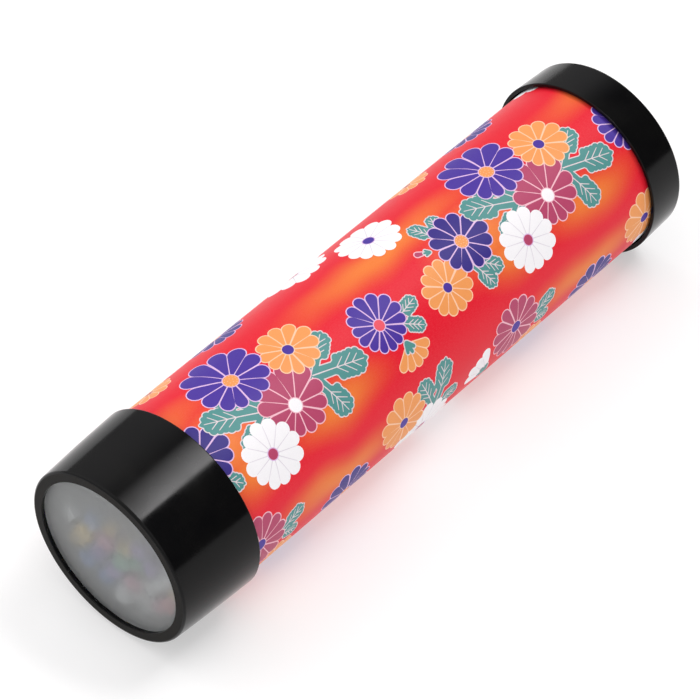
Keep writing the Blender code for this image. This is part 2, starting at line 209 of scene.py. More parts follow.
# A leaf's lobe. Each part is from and to along the lobe, then both radii in lobe sizes.
LOBE_PARTS = (
    (0.00, 0.46, 0.095, 0.080),
    (0.50, 0.74, 0.138, 0.150),
    (0.78, 0.97, 0.125, 0.018),
)
LOBE_CROWN = 0.74
SCALLOPS = (0.50, 0.58, 0.66, 0.74)
CROWN_LEANS = (56, 28)                        # degrees from the lobe's own direction
SIDE_VEINS = ((0.45, 0.17), (0.58, 0.19), (0.72, 0.14))
VEIN_LEAN = 40


def linear(colour):
    """An 8-bit display colour as linear light."""
    out = []
    for value in colour:
        v = value / 255
        out.append(v / 12.92 if v <= 0.04045 else ((v + 0.055) / 1.055) ** 2.4)
    return (*out, 1.0)


def roll(radius, way, along):
    """The point at a radius, a way round from the top in radians and a station, in metres."""
    return Vector((radius * math.sin(way), FRONT_Y + along, AXIS_Z + radius * math.cos(way)))


# ---------------------------------------------------------------- materials

class Graph:
    """A node tree being put together."""

    def __init__(self, tree):
        self.tree = tree

    def add(self, kind, **settings):
        """A new node with its settings."""
        node = self.tree.nodes.new(kind)
        for key, value in settings.items():
            setattr(node, key, value)
        return node

    def put(self, value, socket):
        """Link an output, or set a plain value."""
        if isinstance(value, bpy.types.NodeSocket):
            self.tree.links.new(value, socket)
        else:
            socket.default_value = value

    def split(self, vector):
        """The three parts of a vector."""
        node = self.add("ShaderNodeSeparateXYZ")
        self.put(vector, node.inputs[0])
        return node.outputs

    def math(self, operation, *values):
        """The result of a sum, product or the like."""
        node = self.add("ShaderNodeMath", operation=operation)
        for value, socket in zip(values, node.inputs):
            self.put(value, socket)
        return node.outputs[0]

    def span(self, value, low, high, to_low, to_high, smooth=False):
        """Map a value from one range to another, clamped."""
        node = self.add("ShaderNodeMapRange")
        if smooth:
            node.interpolation_type = "SMOOTHSTEP"
        for item, key in ((value, "Value"), (low, "From Min"), (high, "From Max"),
                          (to_low, "To Min"), (to_high, "To Max")):
            self.put(item, node.inputs[key])
        return node.outputs["Result"]

    def mix(self, factor, first, second):
        """Blend two colours."""
        node = self.add("ShaderNodeMix", data_type="RGBA")
        self.put(factor, node.inputs["Factor"])
        self.put(first, node.inputs["A"])
        self.put(second, node.inputs["B"])
        return node.outputs["Result"]


class Nodes(Graph):
    """A Principled material being put together."""

    def __init__(self, name, base=(0.8, 0.8, 0.8, 1.0), roughness=0.5, metallic=0.0):
        self.material = bpy.data.materials.new(name)
        self.material.use_nodes = True
        super().__init__(self.material.node_tree)
        self.shader = self.tree.nodes["Principled BSDF"]
        self.shader.inputs["Base Color"].default_value = base
        self.shader.inputs["Roughness"].default_value = roughness
        self.shader.inputs["Metallic"].default_value = metallic
        self.coordinates = self.add("ShaderNodeTexCoord").outputs["Object"]

    def print_coordinates(self):
        """Use the flat print's coordinates, in millimetres."""
        node = self.add("ShaderNodeUVMap")
        node.uv_map = "flat"
        self.coordinates = node.outputs["UV"]
        return self

    def stretched(self, scale):
        """The coordinates scaled by a vector."""
        node = self.add("ShaderNodeMapping")
        self.put(self.coordinates, node.inputs["Vector"])
        node.inputs["Scale"].default_value = scale
        return node.outputs["Vector"]

    def noise(self, scale, detail, rough=0.5, vector=None):
        """Smooth noise from 0 to 1, about one feature per 1/scale."""
        node = self.add("ShaderNodeTexNoise")
        self.put(vector or self.coordinates, node.inputs["Vector"])
        node.inputs["Scale"].default_value = scale
        node.inputs["Detail"].default_value = detail
        node.inputs["Roughness"].default_value = rough
        return node.outputs["Fac"]

    def bump(self, height, distance, strength):
        """Add relief, over any relief there already."""
        node = self.add("ShaderNodeBump")
        normal = self.shader.inputs["Normal"]
        if normal.is_linked:
            self.put(normal.links[0].from_socket, node.inputs["Normal"])
        self.put(height, node.inputs["Height"])
        node.inputs["Distance"].default_value = distance
        node.inputs["Strength"].default_value = strength
        self.put(node.outputs["Normal"], normal)

    def colour(self, value):
        self.put(value, self.shader.inputs["Base Color"])

    def rough(self, value):
        self.put(value, self.shader.inputs["Roughness"])

    def set(self, key, value):
        """Give one of the shader's own sockets a constant."""
        self.shader.inputs[key].default_value = value


def shade(colour, factor):
    """A colour made lighter or darker."""
    return (*(min(1.0, c * factor) for c in colour[:3]), 1.0)


def paper_grain(nodes):
    """Fibres and crinkle of the paper, in the print's millimetres."""
    fibres = nodes.noise(1.0, 4, 0.6, nodes.stretched((1.4, 4.2, 1)))
    crinkle = nodes.noise(0.35, 2, 0.5)
    grain = nodes.noise(7.0, 2, 0.5)
    nodes.rough(nodes.span(fibres, 0.3, 0.7, 0.40, 0.52))
    nodes.bump(crinkle, 0.10 * MM, 0.35)
    nodes.bump(fibres, 0.03 * MM, 0.6)
    nodes.bump(grain, 0.012 * MM, 0.6)
    nodes.set("Specular IOR Level", 0.27)
    return grain, fibres


def ink_material(name, colour):
    """Printed ink: a little thinner over the fibres' high points."""
    nodes = Nodes("ink_" + name).print_coordinates()
    grain, fibres = paper_grain(nodes)
    base = linear(colour)
    worn = nodes.mix(nodes.span(grain, 0.35, 0.75, 0.0, 1.0), shade(base, 0.94), shade(base, 1.05))
    nodes.colour(nodes.mix(nodes.span(fibres, 0.35, 0.70, 0.0, 0.30), worn, shade(base, 0.86)))
    return nodes.material


def ground_material():
    """Red ground with soft orange clouds that repeat like the flowers do."""
    nodes = Nodes("ink_ground").print_coordinates()
    grain, fibres = paper_grain(nodes)
    place = nodes.split(nodes.coordinates)
    wander = nodes.math("SUBTRACT", nodes.noise(0.045, 1), 0.5)
    drift = nodes.math("MULTIPLY", wander, CLOUD_DRIFT)
    total = 0.0
    for middle, long, high in CLOUDS:
        parts = []
        for axis, half in ((0, long), (1, high)):
            away = nodes.math("SUBTRACT", place[axis], middle[axis])
            if axis:
                away = nodes.math("ADD", away, drift)
            wrapped = nodes.math("WRAP", away, REPEAT[axis] / 2, -REPEAT[axis] / 2)
            share = nodes.math("DIVIDE", wrapped, half)
            parts.append(nodes.math("MULTIPLY", share, share))
        fall = nodes.math("MULTIPLY", nodes.math("ADD", *parts), CLOUD_FALL)
        falloff = nodes.math("EXPONENT", fall)
        total = nodes.math("MAXIMUM", total, falloff)
    red = linear(GROUND_RED)
    pale_fibre = (1.0, 0.75, 0.7, 1.0)
    printed = nodes.mix(nodes.span(total, 0.08, 0.95, 0.0, 1.0), red, linear(GROUND_ORANGE))
    shaded = nodes.mix(nodes.span(grain, 0.3, 0.8, 0.0, 0.10), printed, shade(red, 0.75))
    nodes.colour(nodes.mix(nodes.span(fibres, 0.4, 0.8, 0.0, 0.04), shaded, pale_fibre))
    return nodes.material


def gloss_black():
    """Moulded black plastic: gloss with a faint moulding ripple, dust haze and hair scratches."""
    nodes = Nodes("cap_gloss_black", (0.010, 0.010, 0.011, 1.0))
    haze = nodes.noise(60, 4, 0.6)
    scratches = nodes.noise(900, 2, 0.5, nodes.stretched((1, 0.04, 1)))
    nodes.rough(nodes.math("ADD", nodes.span(haze, 0.35, 0.75, 0.10, 0.20),
                           nodes.span(scratches, 0.62, 0.80, 0.0, 0.12)))
    nodes.colour(nodes.mix(nodes.span(haze, 0.4, 0.8, 0.0, 1.0), (0.0030, 0.0030, 0.0034, 1),
                           (0.0055, 0.0053, 0.0050, 1)))
    nodes.set("Specular IOR Level", 0.13)
    nodes.bump(nodes.noise(45, 1), 0.08 * MM, 0.25)
    nodes.bump(scratches, 0.01 * MM, 0.15)
    return nodes.material


def satin_black():
    """The rim's cut face: the same plastic with a satin, lightly handled surface."""
    nodes = Nodes("rim_satin_black", (0.010, 0.009, 0.008, 1.0))
    wear = nodes.noise(220, 5, 0.65)
    fine = nodes.noise(2600, 2)
    nodes.rough(nodes.span(wear, 0.3, 0.75, 0.34, 0.48))
    nodes.colour(nodes.mix(nodes.span(wear, 0.45, 0.8, 0.0, 1.0), (0.0065, 0.0057, 0.0050, 1),
                           (0.016, 0.0135, 0.011, 1)))
    nodes.set("Specular IOR Level", 0.05)
    nodes.bump(fine, 0.01 * MM, 0.5)
    return nodes.material


def frosted():
    """Frosted sheet: light passes, shapes don't."""
    nodes = Nodes("diffuser_frosted", (0.78, 0.80, 0.80, 1.0), 0.38)
    fine = nodes.noise(1600, 2, 0.5)
    cloud = nodes.noise(55, 3, 0.5)
    nodes.colour(nodes.mix(nodes.span(cloud, 0.35, 0.7, 0.0, 1.0), (0.74, 0.76, 0.76, 1),
                           (0.79, 0.805, 0.805, 1)))
    nodes.rough(nodes.span(cloud, 0.3, 0.7, 0.32, 0.36))
    nodes.bump(fine, 0.010 * MM, 0.15)
    nodes.set("Transmission Weight", 0.86)
    nodes.set("IOR", 1.25)
    nodes.set("Specular IOR Level", 0.25)
    return nodes.material


def clear_sheet():
    """Clear acrylic with a few fine scratches."""
    nodes = Nodes("window_clear", (0.97, 0.985, 0.98, 1.0), 0.02)
    scratches = nodes.noise(700, 3, 0.6, nodes.stretched((1, 0.1, 0.06)))
    nodes.rough(nodes.span(scratches, 0.60, 0.80, 0.01, 0.10))
    nodes.bump(scratches, 0.005 * MM, 0.2)
    nodes.set("Transmission Weight", 1.0)
    nodes.set("IOR", 1.49)
    return nodes.material


def bead_glass(name, colour):
    """Cast coloured bead: clear, slightly uneven, with a soft inner cloud."""
    nodes = Nodes("bead_glass_" + name, colour, 0.04)
    swirl = nodes.noise(420, 3, 0.55)
    nodes.colour(nodes.mix(nodes.span(swirl, 0.35, 0.7, 0.0, 1.0), colour, shade(colour, 0.72)))
    nodes.rough(nodes.span(swirl, 0.3, 0.7, 0.02, 0.12))
    nodes.bump(nodes.noise(900, 2), 0.02 * MM, 0.3)
    nodes.set("Transmission Weight", 0.12)
    nodes.set("IOR", 1.5)
    return nodes.material


def mirror_silver():
    """Silvered mirror with a trace of dust."""
    nodes = Nodes("mirror_silver", (0.93, 0.94, 0.95, 1.0), 0.02, 1.0)
    dust = nodes.noise(800, 4, 0.7)
    nodes.rough(nodes.span(dust, 0.60, 0.85, 0.015, 0.20))
    nodes.colour(nodes.mix(nodes.span(nodes.noise(120, 2), 0.3, 0.7, 0.0, 1.0), (0.93, 0.94, 0.95, 1),
                           (0.88, 0.90, 0.92, 1)))
    return nodes.material


def fibre_board(name, light, dark):
    """Grey-brown or dyed card with fibres."""
    nodes = Nodes(name, light, 0.85)
    fibres = nodes.noise(900, 5, 0.65, nodes.stretched((1, 0.35, 1)))
    flecks = nodes.noise(260, 3, 0.6)
    tone = nodes.mix(nodes.span(fibres, 0.35, 0.7, 0.0, 1.0), dark, light)
    nodes.colour(nodes.mix(nodes.span(flecks, 0.55, 0.75, 0.0, 0.35), tone, shade(dark, 0.6)))
    nodes.rough(nodes.span(fibres, 0.3, 0.7, 0.78, 0.92))
    nodes.bump(fibres, 0.05 * MM, 0.5)
    return nodes.material


def foam_cells():
    """Open-cell foam, its pits painted dark as painted shade."""
    nodes = Nodes("foam_cells", (0.06, 0.06, 0.065, 1.0), 0.95)
    cells = nodes.add("ShaderNodeTexVoronoi")
    nodes.put(nodes.coordinates, cells.inputs["Vector"])
    cells.inputs["Scale"].default_value = 1600
    depth = cells.outputs["Distance"]
    # Painted shade: the cells' pits, low in the bump, are painted near black and their rims lighter.
    nodes.colour(nodes.mix(nodes.span(depth, 0.1, 0.6, 0.0, 1.0), (0.012, 0.012, 0.013, 1),
                           (0.09, 0.09, 0.095, 1)))
    nodes.rough(nodes.span(depth, 0.1, 0.6, 1.0, 0.85))
    nodes.bump(depth, 0.25 * MM, 0.8)
    return nodes.material


def crepe_tape():
    """Masking tape with its fine crepe lines."""
    nodes = Nodes("crepe_tape", (0.62, 0.47, 0.22, 1.0), 0.6)
    crepe = nodes.noise(700, 3, 0.5, nodes.stretched((0.3, 2.2, 0.3)))
    nodes.colour(nodes.mix(nodes.span(crepe, 0.3, 0.7, 0.0, 1.0), (0.52, 0.38, 0.17, 1),
                           (0.68, 0.53, 0.27, 1)))
    nodes.rough(nodes.span(crepe, 0.3, 0.7, 0.5, 0.7))
    nodes.bump(crepe, 0.08 * MM, 0.6)
    return nodes.material


def moulded_white():
    """White moulded plastic, fine sparked texture."""
    nodes = Nodes("moulded_white", (0.80, 0.80, 0.78, 1.0), 0.4)
    spark = nodes.noise(2400, 3, 0.6)
    tone = nodes.noise(90, 2)
    nodes.colour(nodes.mix(nodes.span(tone, 0.3, 0.7, 0.0, 1.0), (0.78, 0.78, 0.76, 1),
                           (0.83, 0.83, 0.81, 1)))
    nodes.rough(nodes.span(spark, 0.3, 0.7, 0.34, 0.48))
    nodes.bump(spark, 0.02 * MM, 0.4)
    return nodes.material


def studio_floor():
    """Plain pale floor, lifted a little so that it reads as white."""
    nodes = Nodes("studio_floor", (0.60, 0.60, 0.60, 1.0), 0.75)
    nodes.rough(nodes.span(nodes.noise(30, 2), 0.3, 0.7, 0.72, 0.80))
    nodes.set("Specular IOR Level", 0.2)
    nodes.set("Emission Color", (1, 1, 1, 1))
    nodes.set("Emission Strength", FLOOR_LIFT)
    return nodes.material


# ---------------------------------------------------------------- turned pieces

def rounded(corners, steps):
    """Points and normals of a closed section, its (radius, station, fillet) corners rounded.

    The corners run down the outer side first, towards the front.
    """
    points = []
    for i, (radius, along, fillet) in enumerate(corners):
        here = Vector((radius, along))
        before = Vector(corners[i - 1][:2])
        after = Vector(corners[(i + 1) % len(corners)][:2])
        way_in = (here - before).normalized()
        way_out = (after - here).normalized()
        turn = math.atan2(way_in.x * way_out.y - way_in.y * way_out.x, way_in.dot(way_out))
        side = -1 if turn < 0 else 1
        normal = Vector((-way_in.y, way_in.x))
        start = here - way_in * fillet * math.tan(abs(turn) / 2)
        centre = start + normal * side * fillet
        for k in range(steps + 1):
            facing = Matrix.Rotation(turn * k / steps, 2) @ normal
            points.append((centre - facing * side * fillet, facing))
    return points


def new_piece(name, vertices, faces, normals, materials, face_materials=None):
    """A mesh object. normals may be None, and face_materials gives each face's material number."""
    mesh = bpy.data.meshes.new(name)
    mesh.from_pydata(vertices, [], faces)
    for material in materials:
        mesh.materials.append(material)
    if face_materials:
        mesh.polygons.foreach_set("material_index", face_materials)
    mesh.shade_smooth()
    if normals:
        mesh.normals_split_custom_set_from_vertices(normals)
    piece = bpy.data.objects.new(name, mesh)
    bpy.context.scene.collection.objects.link(piece)
    return piece


def spin(section, sides):
    """Points and normals of a section turned round the axis."""
    vertices, normals = [], []
    for k in range(sides):
        way = 2 * math.pi * k / sides
        for point, facing in section:
            vertices.append(roll(point.x, way, point.y))
            normals.append(Vector((facing.x * math.sin(way), facing.y, facing.x * math.cos(way))))
    return vertices, normals


def lathe(name, corners, materials, pick=None, steps=6, sides=SIDES):
    """A turned ring or sleeve. pick says which material each stretch of the section takes."""
    section = rounded(corners, steps)
    count = len(section)
    vertices, normals = spin(section, sides)
    faces, chosen = [], []
    for k in range(sides):
        other = (k + 1) % sides
        for i in range(count):
            j = (i + 1) % count
            faces.append((k * count + i, k * count + j, other * count + j, other * count + i))
            chosen.append(pick(section[i][0], section[j][0]) if pick else 0)
    return new_piece(name, vertices, faces, normals, materials, chosen)


def plate(name, radius, start, end, fillet, materials):
    """A solid round plate with rounded rims."""
    corners = ((radius, end, fillet), (radius, start, fillet), (radius / 2, start, fillet),
               (radius / 2, end, fillet))
    steps = 4
    section = rounded(corners, steps)[:2 * (steps + 1)]     # both rims, without the inner corners
    count = len(section)
    vertices, normals = spin(section, SIDES)
    faces = []
    for k in range(SIDES):
        other = (k + 1) % SIDES
        for i in range(count - 1):
            faces.append((k * count + i, k * count + i + 1, other * count + i + 1, other * count + i))
    faces.append([k * count for k in range(SIDES)])
    faces.append([k * count + count - 1 for k in reversed(range(SIDES))])
    return new_piece(name, vertices, faces, normals, materials)


def stands_for(piece, body, slot, *nodes):
    """Ride on a body in place of CAD nodes, which are hidden; slot is not used."""
    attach(piece, body)
    if nodes:
        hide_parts(*nodes)


# ---------------------------------------------------------------- the print, drawn flat

def drop(foot, tip, foot_radius, tip_radius, tip_steps=10, foot_steps=3):
    """Outline round two circles: a petal, a vein, a lobe or, with both ends alike, a dot."""
    foot, tip = Vector(foot), Vector(tip)
    along = tip - foot
    distance = along.length
    if distance <= abs(tip_radius - foot_radius) + 1e-6:
        return [tip + Vector((math.cos(a), math.sin(a))) * tip_radius
                for a in (2 * math.pi * i / (2 * tip_steps) for i in range(2 * tip_steps))]
    heading = math.atan2(along.y, along.x)
    reach = math.acos((foot_radius - tip_radius) / distance)
    outline = []
    for centre, radius, first, last, steps in (
            (tip, tip_radius, -reach, reach, tip_steps),
            (foot, foot_radius, reach, 2 * math.pi - reach, foot_steps)):
        for i in range(steps + 1):
            angle = heading + first + (last - first) * i / steps
            outline.append(centre + Vector((math.cos(angle), math.sin(angle))) * radius)
    return outline


def direction(degrees):
    """A unit vector in the print."""
    return Vector((math.cos(math.radians(degrees)), math.sin(math.radians(degrees))))


def dot(centre, radius, ink, steps=9):
    """A round spot."""
    return drop(centre, centre, radius, radius, steps), ink


def petal_rings(eye, tips, half_angle, ink):
    """Petals as two layers, the lines first and the fills over them."""
    lines, fills = [], []
    for tip, eye_gap in tips:
        along = tip - eye
        reach = along.length
        way = along.normalized()
        centre = (reach + LINE / 2) / (1 + math.sin(half_angle))
        radius = centre * math.sin(half_angle) - LINE / 2
        foot = eye + way * eye_gap
        foot_radius = max(0.12, eye_gap * math.sin(half_angle) - LINE / 2)
        middle = eye + way * centre
        lines.append((drop(foot, middle, foot_radius + LINE, radius + LINE), ink))
        fills.append((drop(foot, middle, foot_radius, radius), ink))
    return lines, fills


def flower_eye(eye, radius, ink, ring):
    """A flower's eye in its ring, with the stamens of an orange one."""
    shapes = [dot(eye, radius + LINE * 0.9, ring, 12), dot(eye, radius, ink, 12)]
    if ink == "orange":
        for count, out, size in STAMENS:
            for i in range(count):
                centre = eye + direction(360 / count * i) * radius * out
                shapes.append(dot(centre, size, "line_peach", 4))
    return shapes


def flower(draw, eye, middle, radius, petals, ink, eye_ink, eye_radius):
    """A chrysanthemum whose petals run from its eye to a circle that may sit off centre."""
    eye, middle = Vector(eye), Vector(middle)
    line = LINE_OF[ink]
    start = draw.uniform(0, 360)
    offset = eye - middle
    tips = []
    for i in range(petals):
        way = direction(start + 360 * (i + draw.uniform(-PETAL_TURN, PETAL_TURN)) / petals)
        inward = offset.dot(way)
        reach = -inward + math.sqrt(inward ** 2 + radius ** 2 - offset.length_squared)
        tips.append((eye + way * reach * draw.uniform(*PETAL_REACH), eye_radius))
    lines, fills = petal_rings(eye, tips, math.pi / petals, ink)
    shapes = []
    if ink == "white":
        shapes += [(outline, "white") for outline, _ in lines]
        shapes.append(dot(eye, eye_radius * 2.0, "white"))
        for i in range(petals):
            across = (tips[i][0] + tips[(i + 1) % petals][0]) / 2 - eye
            shapes.append((drop(eye, eye + across * 0.86, 0.16, 0.07, 4, 2), line))
    else:
        shapes += [(outline, line) for outline, _ in lines]
        shapes.append(dot(eye, eye_radius * 1.6, line))
        shapes += fills
    ring = "line_lilac" if ink == "white" else line
    return shapes + flower_eye(eye, eye_radius, eye_ink, ring)


def leaf_lobe(draw, foot, tip, size):
    """One lobe of a leaf, as (start, end, radii), and its veins.

    It has a neck, a crown with scalloped sides, and a point.
    """
    along = tip - foot
    heading = math.degrees(math.atan2(along.y, along.x))
    across = Vector((-along.y, along.x)).normalized()
    crown = foot + along * LOBE_CROWN
    lobes = [(foot + along * start, foot + along * end, first * size, last * size)
             for start, end, first, last in LOBE_PARTS]
    for side in (-1, 1):
        for share in SCALLOPS:
            root = foot + along * share
            bulge = size * draw.uniform(0.120, 0.136)
            lobes.append((root, root + across * side * bulge, 0.08 * size, 0.056 * size))
        for lean in CROWN_LEANS:
            end = crown + direction(heading + side * lean) * 0.150 * size
            lobes.append((crown, end, 0.08 * size, 0.050 * size))
    veins = [(foot + along * 0.04, foot + along * 0.92, 0.17, 0.11)]
    for share, reach in SIDE_VEINS:
        for side in (-1, 1):
            root = foot + along * share
            end = root + direction(heading + side * VEIN_LEAN) * size * reach
            veins.append((root, end, 0.14, 0.10))
    return lobes, veins


def leaf(draw, foot, tips):
    """A leaf of several lobes on one foot, with gaps of ground between their necks."""
    foot = Vector(foot)
    lobes, veins = [], []
    for tip in tips:
        size = 0.40 * (Vector(tips[0]) - foot).length + 0.72 * (Vector(tip) - foot).length
        lobe, lobe_veins = leaf_lobe(draw, foot, Vector(tip), size)
        lobes += lobe
        veins += lobe_veins
    shapes = []
    for grow, ink in ((LINE, "line_mint"), (0.0, "teal")):
        for start, end, first, last in lobes:
            shapes.append((drop(start, end, first + grow, last + grow, 6, 3), ink))
    for start, end, first, last in veins:
        shapes.append((drop(start, end, first, last, 3, 2), "line_mint"))
    return shapes


def bud(draw, foot, middle, spread, petals, radius, ink):
    """A half-open bud: a fan of petals on a small green cup."""
    foot = Vector(foot)
    step = spread / max(petals, 1)
    tips = []
    for i in range(petals):
        way = direction(middle + step * (i - (petals - 1) / 2))
        tips.append((foot + way * radius * draw.uniform(*BUD_REACH), radius * 0.12))
    lines, fills = petal_rings(foot, tips, math.radians(step) / 2, ink)
    line = LINE_OF[ink] if ink != "white" else "white"
    shapes = [(outline, line) for outline, _ in lines] + fills
    if ink == "white":
        shapes += [(drop(foot, foot + (a[0] + b[0] - 2 * foot) * 0.42, 0.14, 0.07, 4, 2), "line_grey")
                   for a, b in zip(tips, tips[1:])]
    cup = direction(middle) * radius * 0.14
    for grow, cup_ink in ((LINE, "line_mint"), (0.0, "teal")):
        for side in (-1, 0, 1):
            end = foot + cup + direction(middle + 58 * side) * radius * 0.20
            shapes.append((drop(foot, end, radius * 0.10 + grow, radius * 0.07 + grow, 5, 3), cup_ink))
    return shapes


def print_shapes():
    """Every printed shape on the sheet, lowest first, as (outline, ink).

    A motif's random draws are seeded by its kind and number, so every repeat draws it alike.
    """
    first, last, low, high = SHEET
    shapes = []
    for across in range(-1, 3):
        for around in range(-2, 3):
            shift = Vector((across * REPEAT[0], around * REPEAT[1]))
            for motifs, kind in ((LEAVES, leaf), (BUDS, bud), (FLOWERS, flower)):
                for number, facts in enumerate(motifs):
                    draw = random.Random(f"{kind.__name__}{number}")
                    for outline, ink in kind(draw, *facts):
                        moved = [point + shift for point in outline]
                        if any(first < p.x < last and low < p.y < high for p in moved):
                            shapes.append((moved, ink))
    return shapes


def sheet_radius(way):
    """The sheet's radius at a way round in millimetres: its last stretch lies over its start."""
    high = SHEET[3]
    rise = min(1.0, max(0.0, (way - (high - SEAM_FLAP - SEAM_SLOPE)) / SEAM_SLOPE))
    return PAPER_RADIUS + SEAM_STEP * MM * rise * rise * (3 - 2 * rise)


def partition(shapes):
    """Cut the flat sheet into triangles that each have one ink, the topmost one."""
    first, last, low, high = SHEET
    points = [Vector(p) for p in ((first, low), (last, low), (last, high), (first, high))]
    faces = [[0, 1, 2, 3]]
    for outline, _ in shapes:
        start = len(points)
        points.extend(outline)
        faces.append(list(range(start, len(points))))
    edges = []
    for i in range(1, ROUND_STEPS):
        way = low + (high - low) * i / ROUND_STEPS
        edges.append((len(points), len(points) + 1))
        points.extend((Vector((first, way)), Vector((last, way))))
    flat, _, triangles, _, _, sources = delaunay_2d_cdt(points, edges, faces, 0, 1e-5, True)
    by_ink = {}
    for corners, owners in zip(triangles, sources):
        if 0 in owners:
            top = max(owners)
            ink = shapes[top - 1][1] if top else "ground"
            by_ink.setdefault(ink, []).append(corners)
    return flat, by_ink


def ink_piece(ink, triangles, flat, material):
    """One ink's triangles, rolled on to the tube."""
    numbers = {}
    faces = [[numbers.setdefault(v, len(numbers)) for v in corners] for corners in triangles]
    used = [flat[v] for v in numbers]
    vertices, normals = [], []
    for point in used:
        way = point.y * MM / PAPER_RADIUS
        vertices.append(roll(sheet_radius(point.y), way, point.x * MM))
        normals.append(Vector((math.sin(way), 0, math.cos(way))))
    outward = []
    for a, b, c in faces:
        facing = (vertices[b] - vertices[a]).cross(vertices[c] - vertices[a])
        outward.append((a, b, c) if facing.dot(normals[a]) > 0 else (a, c, b))
    piece = new_piece("print_" + ink, vertices, outward, normals, (material,))
    layer = piece.data.uv_layers.new(name="flat")
    for loop in piece.data.loops:
        layer.data[loop.index].uv = used[loop.vertex_index]
    return piece


def paper_core(material):
    """The white sheet under the inks, rolled with its overlapping edge."""
    first, last, low, high = SHEET
    inner = PAPER_RADIUS - SHEET_DEPTH
    columns = ROUND_STEPS * 2
    vertices, faces = [], []
    for i in range(columns + 1):
        way_mm = low + (high - low) * i / columns
        way = way_mm * MM / PAPER_RADIUS
        outer = sheet_radius(way_mm) - INK_DEPTH
        for radius, along in ((outer, first), (outer, last), (inner, last), (inner, first)):
            vertices.append(roll(radius, way, along * MM))
    for i in range(columns):
        for k in range(4):
            a, b = 4 * i + k, 4 * i + (k + 1) % 4
            faces.append((a, b, b + 4, a + 4))
    end = 4 * columns
    faces.append((0, 3, 2, 1))
    faces.append((end, end + 1, end + 2, end + 3))
    core = new_piece("print_paper_core", vertices, faces, None, (material,))
    core.data.set_sharp_from_angle(angle=math.radians(35))
    layer = core.data.uv_layers.new(name="flat")
    for loop in core.data.loops:
        i = loop.vertex_index // 4
        along = first if loop.vertex_index % 4 in (0, 3) else last
        layer.data[loop.index].uv = (along, low + (high - low) * i / columns)
    return core


def make_print():
    """The printed paper."""
    flat, by_ink = partition(print_shapes())
    core = paper_core(ink_material("core", PAPER_WHITE))
    stands_for(core, "tube_body", "printed_paper", "paper_wrap")
    for ink in sorted(by_ink):
        material = ground_material() if ink == "ground" else ink_material(ink, INKS[ink])
        stands_for(ink_piece(ink, by_ink[ink], flat, material), "tube_body", "printed_paper")


# ---------------------------------------------------------------- caps, discs and beads

def make_cell_shell(gloss, satin):
    """The long cap, its rim face satin and the rest gloss.

    The second corner's wide fillet gives the flank its slight barrel.
    """
    end = station("cell_shell", 1)
    seat = station("diffuser_disc", 0) - 0.3 * MM
    disc_radius = node_radius("diffuser_disc")
    front = CAP_RADIUS - 1.3 * MM
    waist = CAP_RADIUS - 0.48 * MM
    rim_hole = disc_radius - 0.40 * MM
    bore = disc_radius + 0.3 * MM
    groove_radius = bore + 0.9 * MM
    groove = station("retaining_ring", 1) + 0.4 * MM
    ledge = groove + 1.8 * MM
    ledge_radius = bore - 0.25 * MM
    socket = groove + 3.2 * MM
    socket_radius = PAPER_RADIUS + 0.4 * MM
    barrel = 760 * MM
    edge = 0.10 * MM
    corners = (
        (CAP_RADIUS, end, 0.30 * MM),
        (waist, end / 2, barrel),
        (front, 0, 0.75 * MM),
        (rim_hole, 0, 0.22 * MM),
        (rim_hole, seat, edge),
        (bore, seat, edge),
        (bore, groove, edge),
        (groove_radius, groove, edge),
        (groove_radius, ledge, edge),
        (ledge_radius, ledge, edge),
        (ledge_radius, socket, edge),
        (socket_radius, socket, edge),
        (socket_radius, end, 0.15 * MM),
    )

    def rim_face(a, b):
        """1, the satin material, on the flat front of the rim."""
        return int(max(a.y, b.y) < 0.02 * MM and min(a.x, b.x) > rim_hole)

    shell = lathe("cap_cell", corners, (gloss, satin), rim_face, 8)
    stands_for(shell, "object_cell", "black_plastic", "cell_shell")


def make_eyepiece_cap(gloss):
    """The short cap with its dished peephole."""
    start, end = station("eyepiece_cap", 0), station("eyepiece_cap", 1)
    face = station("eyepiece_window", 1) + 0.3 * MM
    spigot = station("eyepiece_gasket", 0)
    spigot_inner = node_radius("eyepiece_window") + 0.3 * MM
    spigot_outer = node_radius("rear_mirror_plate")
    socket_radius = PAPER_RADIUS + 0.5 * MM
    peephole = 4.5 * MM
    dish = 7.0 * MM
    corners = (
        (CAP_RADIUS - 0.55 * MM, end, 0.50 * MM),
        (CAP_RADIUS, start, 0.25 * MM),
        (socket_radius, start, 0.20 * MM),
        (socket_radius, face, 0.15 * MM),
        (spigot_outer, face, 0.15 * MM),
        (spigot_outer, spigot, 0.20 * MM),
        (spigot_inner, spigot, 0.20 * MM),
        (spigot_inner, face, 0.10 * MM),
        (peephole, face, 0.10 * MM),
        (peephole, end - 0.8 * MM, 0.25 * MM),
        (dish, end, 0.60 * MM),
    )
    cap = lathe("cap_eyepiece", corners, (gloss,))
    stands_for(cap, "tube_body", "black_plastic", "eyepiece_cap")


def make_discs(frost, clear):
    """Frosted disc and both clear windows."""
    fillet = 0.2 * MM
    for name, node, body, slot, material in (
            ("disc_frosted", "diffuser_disc", "object_cell", "frosted_plastic", frost),
            ("disc_cell_window", "cell_window", "object_cell", "clear_plastic", clear),
            ("disc_eye_window", "eyepiece_window", "tube_body", "clear_plastic", clear)):
        start, end = station(node, 0), station(node, 1)
        disc = plate(name, node_radius(node), start, end, fillet, (material,))
        stands_for(disc, body, slot, node)


